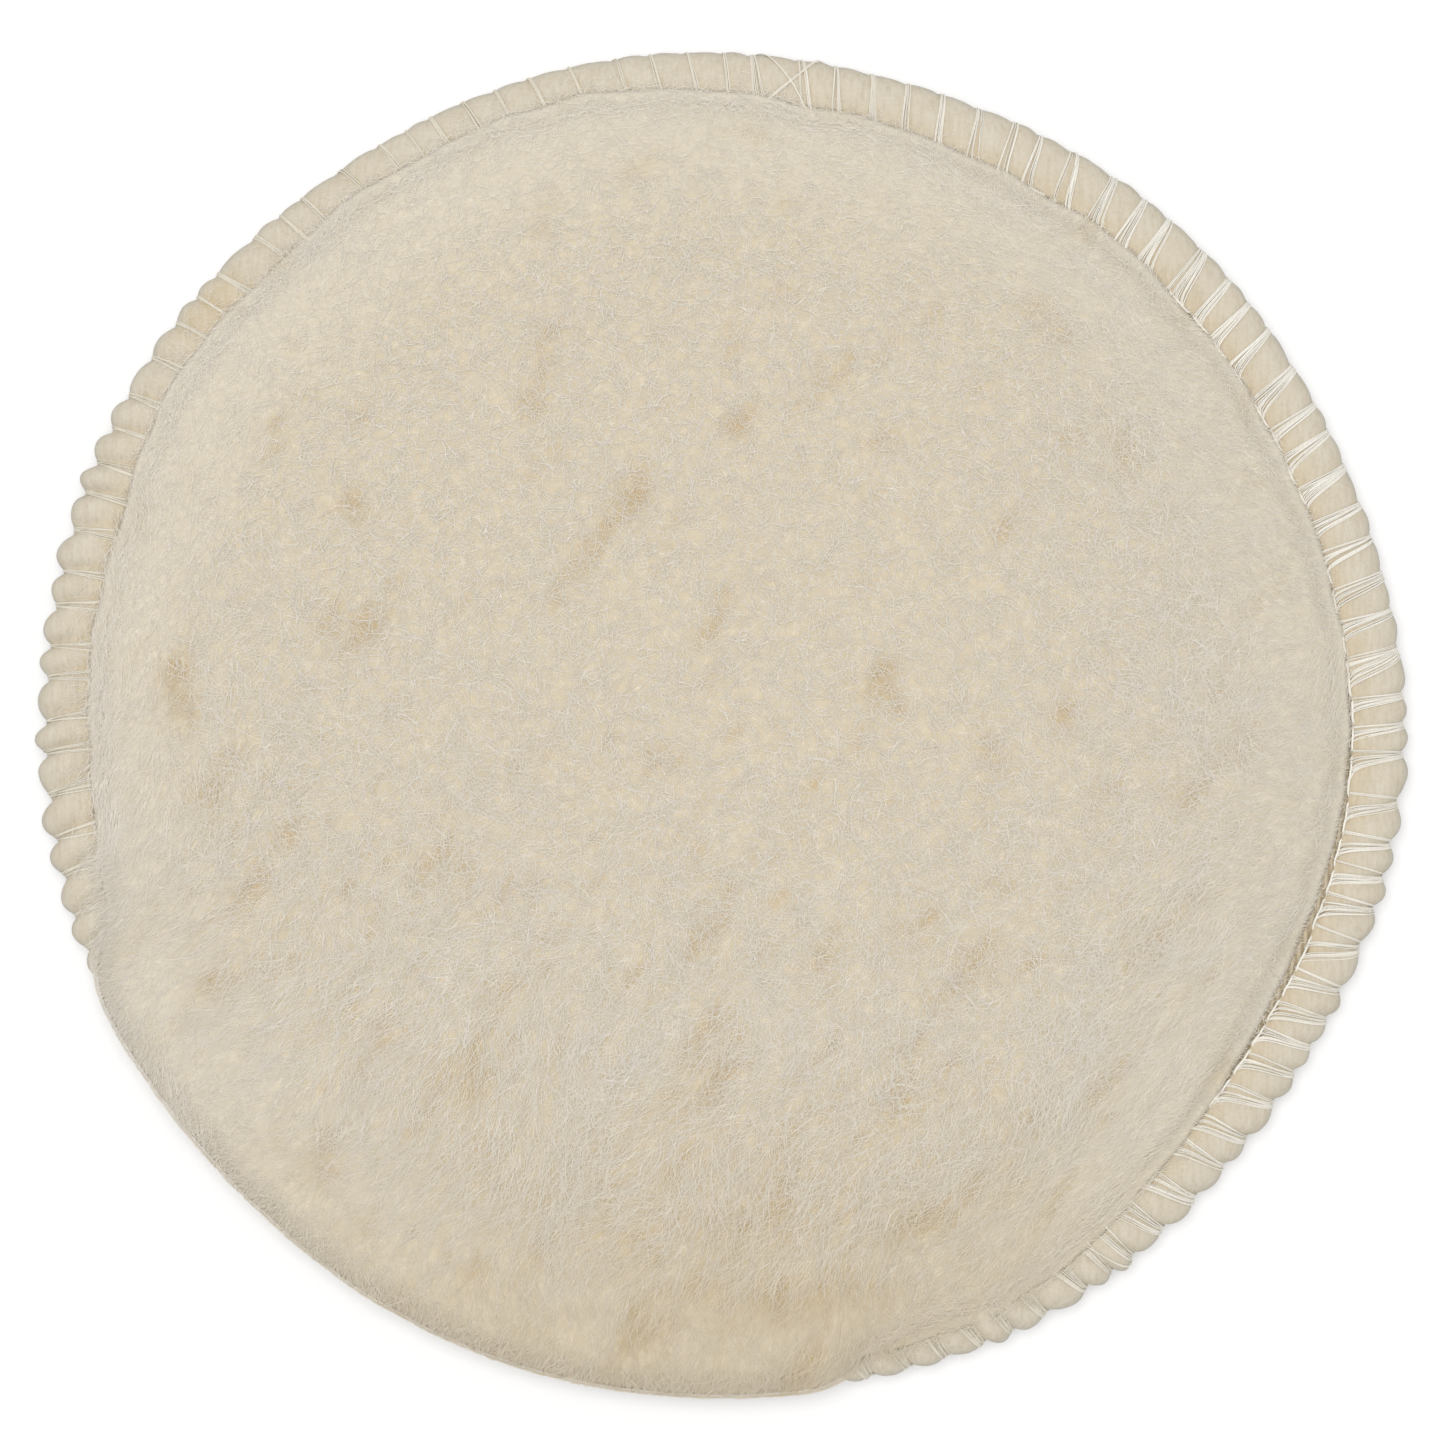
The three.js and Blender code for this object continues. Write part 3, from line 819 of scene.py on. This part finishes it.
def lumps(u, v):
    """Height of the locks of wool, and how low a spot lies between them, in the flat disc; that second
    number darkens the wool's tone there, the wool's ochre with painted shade.
    """
    u, v = u / MM, v / MM
    along, across = u * 0.57 + v * 0.82, v * 0.57 - u * 0.82
    lower = ramp(-(v + 0.25 * u), -15, 45)
    fine = layered(along / 9 + 3, across / 5 + 8, 21)
    waves = layered(along / 17 + 13, across / 6.5 + 5, 22)
    broad = layered(u / 26 + 9, v / 26 + 4, 23, 2)
    height = (0.10 + 0.16 * lower) * fine + (0.08 + 0.28 * lower) * waves + 0.2 * broad
    hollow_ochre_and_shade = ramp(-0.9 * fine - 0.5 * (0.4 + lower) * waves, 0.25, 1.1)
    return height * MM, hollow_ochre_and_shade


def flecks_and_hollow_shade(u, v):
    """How ochre the wool is in the flat disc: its spots, and the spaces between the combed half's locks,
    the wool's ochre with painted shade.
    """
    total = np.zeros_like(u)
    for degrees, share, long_half, short_half, lie, strength in FLECKS:
        place = math.radians(degrees)
        du, dv = u - share * BROW_REACH * math.cos(place), v - share * BROW_REACH * math.sin(place)
        c, d = math.cos(math.radians(lie)), math.sin(math.radians(lie))
        far = np.hypot((du * c + dv * d) / (long_half * MM), (dv * c - du * d) / (short_half * MM))
        total = np.maximum(total, strength * (1 - ramp(far, 0.2, 1.3)))
    broken = 0.75 + 0.45 * noise(u / MM / 1.3, v / MM / 1.3, 91)
    x, y = u / MM, v / MM
    along = x * math.cos(NAP_LIE) + y * math.sin(NAP_LIE)
    across = y * math.cos(NAP_LIE) - x * math.sin(NAP_LIE)
    combed = ramp(-(y + 0.2 * x), -8, 30) * (1 - 0.7 * ramp(np.hypot(u, v) / BROW_REACH, 0.8, 0.95))
    # The combed half's spaces between locks: the wool's ochre with painted shade
    combed_ochre_and_shade = combed * ramp(layered(along / 5.0, across / 2.0, 93, 2), 0.15, 1.1)
    return np.clip(0.85 * total * broken, 0, 1) + 0.85 * combed_ochre_and_shade


def surface_at(u, v, lift):
    """A point over the wool's lumpy surface from a place in the flat disc."""
    angle = np.arctan2(v, u)
    share = np.interp(np.hypot(u, v), REACH, SHARES)
    point, normal = pile_surface(angle, share)
    height, _ = lumps(u, v)
    calm = 1 - 0.8 * ramp(share, 0.93, 1.0)
    inset = BODY_INSET * (1 - ramp(share, 0.93, 1.0))
    return point + normal * (height * calm - inset + lift)[..., None]


def nap(u, v):
    """Which way the wool lies in the flat disc, and how strongly."""
    angle = np.arctan2(v, u)
    out = np.hypot(u, v) / BROW_REACH
    lower = ramp(-(v + 0.3 * u) / MM, -20, 50)
    right = ramp(u / MM, 20, 65)
    lean = lean_share(angle)
    edge = ramp(out, 0.72, 0.97)
    flow_u = math.cos(NAP_LIE) * (0.15 + 0.8 * lower) - 0.8 * right
    flow_v = math.sin(NAP_LIE) * (0.15 + 0.8 * lower) + 0.05 * right
    push = edge * (1.6 * lean - 0.35) - 0.9 * ramp(out, 0.9, 1.0) * (1 - ramp(lean, 0.3, 0.6))
    push = push + 0.9 * edge * wisps(angle)
    flow_u, flow_v = flow_u + np.cos(angle) * push, flow_v + np.sin(angle) * push
    strength = np.hypot(flow_u, flow_v)
    swirl = layered(u / MM / 14, v / MM / 14, 51, 2) * 1.7
    swirl = swirl + layered(u / MM / 4.5, v / MM / 4.5, 52, 1) * 0.8
    lie = np.arctan2(flow_v, flow_u) + swirl * (1.1 - 0.7 * np.clip(strength, 0, 1))
    return lie, np.clip(strength, 0, 1.2)


def wool_body(material):
    """The dense felted heart of the pile, under the loose fibres."""
    columns, rings = 440, 130
    angles = np.arange(columns) / columns * TAU
    reach = np.linspace(0.01, 1, rings) * BROW_REACH
    a, r = np.meshgrid(angles, reach)
    u, v = r * np.cos(a), r * np.sin(a)
    grain = layered(u / MM / 2.4, v / MM / 2.4, 77) * 0.05 * MM
    top = surface_at(u, v, grain - 0.3 * MM * ramp(r / BROW_REACH, 0.93, 1.0))
    _, hollow_ochre_and_shade = lumps(u, v)
    root = root_radius(angles)
    brow = np.hypot(top[-1, :, 0], top[-1, :, 1])

    def ring(radius, z):
        return np.stack([radius * np.cos(angles), radius * np.sin(angles), z + 0 * angles], -1)[None]

    rows = np.concatenate([
        top,
        ring(brow - 0.2 * MM, top[-1, :, 2] - 0.22 * MM),
        ring(root - 0.2 * MM, np.minimum(top[-1, :, 2] - 0.3 * MM, BROW_Z - 1.1 * MM)),
        ring(root - 0.2 * MM, PILE_Z),
    ])
    tone = np.full(rows.shape[:2], 0.45)
    # Darker where a spot lies low between the locks and in the combed half's spaces (the wool's ochre
    # with painted shade), ochre in the spots, and darker towards the bottom
    tone[:rings] = 0.48 - 0.30 * hollow_ochre_and_shade - 0.32 * flecks_and_hollow_shade(u, v) - 0.25 * ramp(-v / MM, 30, 76)
    # Paler towards the brow: painted light against the shade of the sloping shoulder
    tone[:rings] += 0.2 * ramp(r / BROW_REACH, 0.7, 0.9) + 0.15 * ramp(r / BROW_REACH, 0.92, 1.0)
    triangles = grid_triangles(len(rows), columns)
    co = rows.reshape(-1, 3)
    last = (len(rows) - 1) * columns
    caps = [fan(0, columns, len(co), reverse=True), fan(last, columns, len(co) + 1)]
    centre_top = [0, 0, float(rows[0, :, 2].mean())]
    piece = mesh_object("wool_pile_felted", np.concatenate([co, [centre_top, [0, 0, PILE_Z]]]),
                        np.concatenate([triangles, *caps])[:, ::-1], tone=np.append(tone, [0.5, 0.4]))
    piece.data.materials.append(material)
    return piece


def wool_fibres(material, count):
    """Loose crimped fibres over the whole face and edge, in pieces of a workable size."""
    draw = np.random.default_rng(SEED + 1)
    n = np.arange(count)
    fringe = 0.3 * (SKIRT_REACH - BROW_REACH)
    angle = (0.5 + n * EVEN_A) % 1 * TAU
    reach = ((0.5 + n * EVEN_B) % 1) ** 0.48 * (BROW_REACH + fringe)
    # Past the brow the fibres thin out, further over the rim where the edge is wispy
    past = np.clip((reach - BROW_REACH) / fringe, 0, 1)
    thinning = -np.log(1 - 0.95 * past) * (0.25 + 1.0 * wisps(angle)) * MM
    reach = np.where(past > 0, np.minimum(BROW_REACH + thinning, SKIRT_REACH - 0.1 * MM), reach)
    u, v = reach * np.cos(angle), reach * np.sin(angle)
    out = reach / BROW_REACH
    _, hollow_ochre_and_shade = lumps(u, v)
    fleck_and_hollow_shade = flecks_and_hollow_shade(u, v)
    wisp = wisps(angle) * ramp(out, 0.84, 0.97) * (0.7 + 0.6 * noise(u / MM / 5, v / MM / 5, 61))
    lie, strength = nap(u, v)
    spread = (2.2 - 1.75 * np.clip(strength, 0, 1)) * (1 - 0.7 * np.clip(wisp, 0, 1))
    lie = lie + draw.normal(0, 1, count) * spread
    length = (2.0 + 2.6 * np.clip(strength, 0, 1)) * (1 - 0.45 * ramp(out, 0.97, 1.0)) * MM
    length *= draw.uniform(0.6, 1.45, count)
    # Fibres lie flatter and are thinner towards the edge
    calm = 1 - 0.6 * ramp(out, 0.7, 0.95)
    t = np.linspace(0, 1, STRAND_STEPS + 1)[None, :]
    forward = length[:, None] * (0.3 * t + 0.7 * t**1.25)
    high_lying = draw.uniform(0, 1, count)
    rise = (0.02 + 0.43 * high_lying) * calm * MM
    lift = -0.2 * MM + (rise[:, None] + 0.2 * MM) * (1 - (1 - t) ** 2.6)
    crimp = (draw.uniform(0.08, 0.30, count) * calm)[:, None] * MM
    phase = draw.random(count)[:, None] * TAU
    waves = draw.uniform(0.8, 1.8, count)[:, None]
    sway = crimp * (np.sin(phase + TAU * waves * t) - np.sin(phase))
    sway = sway + (draw.normal(0, 0.45, count) * calm)[:, None] * MM * t**2
    high = lift + crimp * 0.25 * np.cos(phase + TAU * waves * t) * ramp(t, 0.1, 0.5)
    high = high + draw.normal(0, 0.08, count)[:, None] * MM * t**3
    c, d = np.cos(lie)[:, None], np.sin(lie)[:, None]
    path = surface_at(u[:, None] + c * forward - d * sway, v[:, None] + d * forward + c * sway, high)
    radius = (draw.uniform(*FIBRE_RADIUS, count) * (0.5 + 0.5 * calm))[:, None] * (1 - 0.7 * t**3)
    # Darker where a fibre lies low between the locks and in the combed half's spaces (the wool's ochre
    # with painted shade), ochre in the spots, darker towards the bottom; the small lift at the brow is
    # painted light
    tone = 0.62 + 0.04 * ramp(out, 0.92, 1.0) - 0.25 * hollow_ochre_and_shade - 0.34 * fleck_and_hollow_shade - 0.30 * ramp(-v / MM, 30, 76)
    # Low-lying fibres darker and more ochre, high ones paler: painted shade and light of their depth in
    # the pile
    tone += calm * (0.26 * (high_lying - 0.5) + draw.normal(0, 0.06, count)) + 0.06 * np.clip(wisp, 0, 1)
    # Darker towards the root, which lies lower: the wool's ochre root with painted shade
    tones = tone[:, None] + 0.12 * (t - 0.5)
    # A fibre is laid out and shaded by the way the wool faces at its middle
    middle_u, middle_v = u + 0.5 * length * np.cos(lie), v + 0.5 * length * np.sin(lie)
    middle_share = np.interp(np.hypot(middle_u, middle_v), REACH, SHARES)
    reference = pile_surface(np.arctan2(middle_v, middle_u), middle_share)[1]
    under = unit(reference + (0, 0, 1))
    per_piece = PIECE_FACES // (STRAND_STEPS * 6 + 2)
    order = np.argsort(angle, kind="stable")
    pieces = []
    for number, start in enumerate(range(0, count, per_piece), 1):
        pick = order[start:start + per_piece]
        piece = tubes(f"wool_fibres_{number:02d}", path[pick], radius[pick], reference[pick],
                      under=under[pick], tone=tones[pick])
        piece.data.materials.append(material)
        pieces.append(piece)
    return pieces


# ---------------------------------------------------------------- hidden layers and loop back

def plate(name, radius_at, low, high, material, rounding, texture, rings=40, columns=240):
    """A round layer with a rounded edge and a faint surface texture."""
    angles = np.arange(columns) / columns * TAU
    radius = radius_at(angles)
    shares = np.linspace(0.02, 1, rings)

    def face(z, order):
        r = shares[order][:, None] * (radius - rounding)[None]
        x, y = r * np.cos(angles), r * np.sin(angles)
        return np.stack([x, y, z + texture * layered(x / MM / 1.7, y / MM / 1.7, 5)], -1)

    bulge = np.stack([radius * np.cos(angles), radius * np.sin(angles),
                      np.full(columns, (low + high) / 2)], -1)[None]
    rows = np.concatenate([face(low, slice(None)), bulge, face(high, slice(None, None, -1))])
    co = rows.reshape(-1, 3)
    triangles = grid_triangles(len(rows), columns)
    last = (len(rows) - 1) * columns
    caps = [fan(0, columns, len(co), reverse=True), fan(last, columns, len(co) + 1)]
    piece = mesh_object(name, np.concatenate([co, [[0, 0, low], [0, 0, high]]]),
                        np.concatenate([triangles, *caps]))
    piece.data.materials.append(material)
    return piece


def inside_rim(inset):
    """The radius of a layer inside the rim, as a function of the angle."""
    return lambda angle: rim_radius(angle) - inset - tuck_under(angle)


def loop_back(material):
    """The touch fastener's loops: a dense field of small open arches on the back."""
    draw = np.random.default_rng(SEED + 2)
    count = LOOPS
    angle = draw.random(count) * TAU
    radius = np.sqrt(draw.random(count)) * (nap_radius(angle) - 0.3 * MM)
    x, y = radius * np.cos(angle), radius * np.sin(angle)
    turn = draw.random(count) * TAU
    span = draw.uniform(0.5, 1.0, count) * MM
    drop = draw.uniform(0.55, 0.95, count) * MM
    t = np.linspace(0, math.pi, 6)[None, :]
    across = span[:, None] * np.cos(t)
    low = CLOTH_Z - 0.12 * MM - drop[:, None] * np.sin(t) ** 0.8
    lean = draw.normal(0, 0.35, count)[:, None] * MM * np.sin(t)
    px = x[:, None] + across * np.cos(turn)[:, None] - lean * np.sin(turn)[:, None]
    py = y[:, None] + across * np.sin(turn)[:, None] + lean * np.cos(turn)[:, None]
    paths = np.stack([px, py, low], -1)
    radii = np.full(paths.shape[:2], LOOP_RADIUS)
    reference = np.stack([-np.sin(turn), np.cos(turn), np.zeros(count)], -1)
    pieces = []
    half = count // 2
    for number, part in enumerate((slice(0, half), slice(half, count)), 1):
        piece = tubes(f"touch_loops_{number}", paths[part], radii[part], reference[part])
        piece.data.materials.append(material)
        pieces.append(piece)
    return pieces


# ---------------------------------------------------------------- build the pad

wool_look = wool_material("lambswool_fibre", FIBRE_STOPS)
felt_look = wool_material("lambswool_felted", FELT_AND_GAP_SHADE_STOPS)
cloth_look = cloth_material()
thread_look = thread_material()
foam_look = foam_material()
knit_look = knit_material()

rim = rim_cloth(cloth_look)
front = front_stitches(thread_look)
needle = needle_dashes(thread_look)
back = back_stitches(thread_look)
body = wool_body(felt_look)
fibres = wool_fibres(wool_look, FIBRES)
foam = plate("foam_cushion", inside_rim(FOAM_INSET), FOAM_Z, GROUND_Z, foam_look, 0.5 * MM, 0)
ground = plate("knitted_ground", inside_rim(GROUND_INSET), GROUND_Z, PILE_Z, knit_look, 0.2 * MM, 0)
nap_base = plate("loop_nap_base", nap_radius, CLOTH_Z - NAP_BASE_DEPTH, CLOTH_Z, cloth_look,
                 0.2 * MM, 0.03 * MM)
loops = loop_back(thread_look)

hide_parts("backing_cloth")
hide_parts("upper_looper_thread")
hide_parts("needle_thread")
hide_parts("lower_looper_thread")
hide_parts("wool_pile")
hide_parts("cushion_foam")
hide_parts("pile_ground_cloth")
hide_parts("loop_nap")

SLOTS = {
    "backing": [rim],
    "thread": [front, needle, back],
    "wool": [body, *fibres],
    "foam": [foam],
    "ground_cloth": [ground],
    "loops": [nap_base, *loops],
}
for slot_name, members in SLOTS.items():
    for piece in members:
        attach(piece, "root")

# The rim's mean radius
MEAN_RIM_RADIUS = float(np.mean(rim_radius(np.linspace(0, TAU, 60))))


# ---------------------------------------------------------------- studio

def studio():
    """A plain pale floor, even white air and one soft light from above."""
    bpy.ops.mesh.primitive_plane_add(size=FLOOR_SIZE, location=(0, 0, -FLOOR_DROP))
    floor = bpy.context.object
    floor.name = "studio_floor"
    material, _, shader = new_material("studio_white", 0.9)
    shader.inputs["Base Color"].default_value = FLOOR_WHITE
    floor.data.materials.append(material)

    world = bpy.data.worlds.new("studio_air")
    bpy.context.scene.world = world
    world.use_nodes = True
    air = world.node_tree.nodes["Background"]
    air.inputs["Color"].default_value = (1, 1, 1, 1)
    air.inputs["Strength"].default_value = AIR_STRENGTH

    light = bpy.data.lights.new("softbox_key", "AREA")
    light.shape = "DISK"
    light.size = KEY_SIZE
    light.energy = KEY_POWER
    lamp = bpy.data.objects.new("softbox_key", light)
    lamp.location = KEY_PLACE
    bpy.context.scene.collection.objects.link(lamp)
    lamp.rotation_mode = "QUATERNION"
    lamp.rotation_quaternion = (-Vector(KEY_PLACE)).to_track_quat("-Z", "Y")

    bpy.context.scene.view_settings.view_transform = "Standard"


def camera():
    """Straight down on the wool face, framed with the pad filling most of a square picture."""
    low, high = CAD_BOX
    across = high.x - low.x
    picture = across * PICTURE_WIDTH
    data = bpy.data.cameras.new("camera")
    data.lens, data.sensor_width = LENS, SENSOR
    data.clip_start, data.clip_end = 0.01, 10
    cam = bpy.data.objects.new("camera", data)
    cam.location = ((low.x + high.x) / 2, (low.y + high.y) / 2,
                    RIM_TOP / 2 + picture * LENS / SENSOR)
    bpy.context.scene.collection.objects.link(cam)
    bpy.context.scene.camera = cam


studio()
camera()
